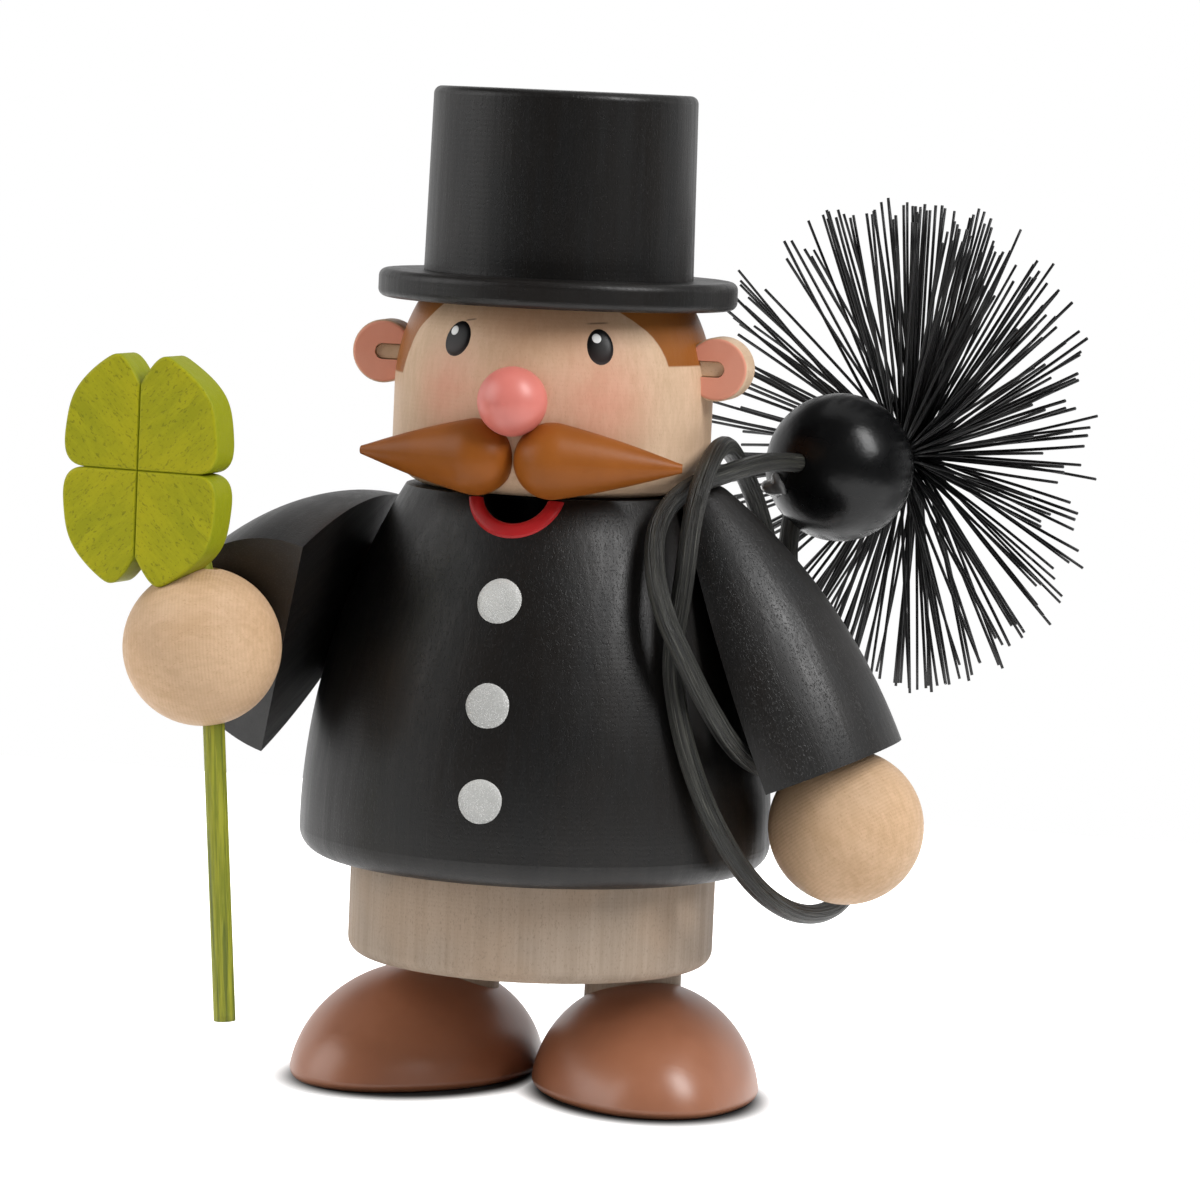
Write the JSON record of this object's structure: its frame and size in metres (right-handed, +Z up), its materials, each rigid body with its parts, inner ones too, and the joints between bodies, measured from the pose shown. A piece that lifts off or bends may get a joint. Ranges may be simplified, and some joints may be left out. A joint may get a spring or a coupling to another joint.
{
  "type": "incense smoker figure",
  "caption": "Turned-wood incense smoker: a chimney sweep whose hollow coat lifts off the trousers to reach the incense dish, with a clover, a cane coil and a brush.",
  "frame": {"origin": "on the floor, under the middle of the figure's outer size without the sweep's line (cane, ball and brush)", "axes": "+Z up along the turning axis, -Y to the figure's front, +X to the figure's left"},
  "size_m": [0.0976, 0.0809, 0.1],
  "materials": {
    "black_wood": "satin",
    "natural_wood": "satin",
    "grey_wood": "matte",
    "brown_wood": "satin",
    "ochre_wood": "satin",
    "pink_wood": "satin",
    "coral_wood": "satin",
    "green_wood": "satin",
    "green_cane": "matte",
    "dark_cane": "matte",
    "black_gloss": "gloss",
    "black_bristle": "matte",
    "steel": "satin",
    "brass": "satin"
  },
  "bodies": {
    "base": {"shoe_right": "brown_wood", "shoe_left": "brown_wood", "leg_right": "grey_wood", "leg_left": "grey_wood", "trousers": "grey_wood", "incense_dish": "brass", "dish_tack": "steel"},
    "figure": {"hat_brim": "black_wood", "hat_crown": "black_wood", "coat": "black_wood", "sleeve_right": "black_wood", "sleeve_left": "black_wood", "head": "natural_wood", "hand_right": "natural_wood", "hand_left": "natural_wood", "neck_dowel": "natural_wood", "arm_dowel_right": "natural_wood", "arm_dowel_left": "natural_wood", "wrist_peg_right": "natural_wood", "wrist_peg_left": "natural_wood", "moustache_right": "ochre_wood", "moustache_left": "ochre_wood", "nose": "pink_wood", "ear_right": "coral_wood", "ear_left": "coral_wood", "clover_leaf_upper_inner": "green_wood", "clover_leaf_upper_outer": "green_wood", "clover_leaf_lower_inner": "green_wood", "clover_leaf_lower_outer": "green_wood", "clover_stem": "green_cane", "sweep_cane": "dark_cane", "sweep_ball": "black_gloss", "brush_bristles": "black_bristle", "brush_pin": "steel"}
  },
  "joints": [
    {"name": "coat_lift", "type": "slide", "parent": "base", "child": "figure", "axis": [0, 0, 1], "range_m": [0, 0.04]}
  ]
}
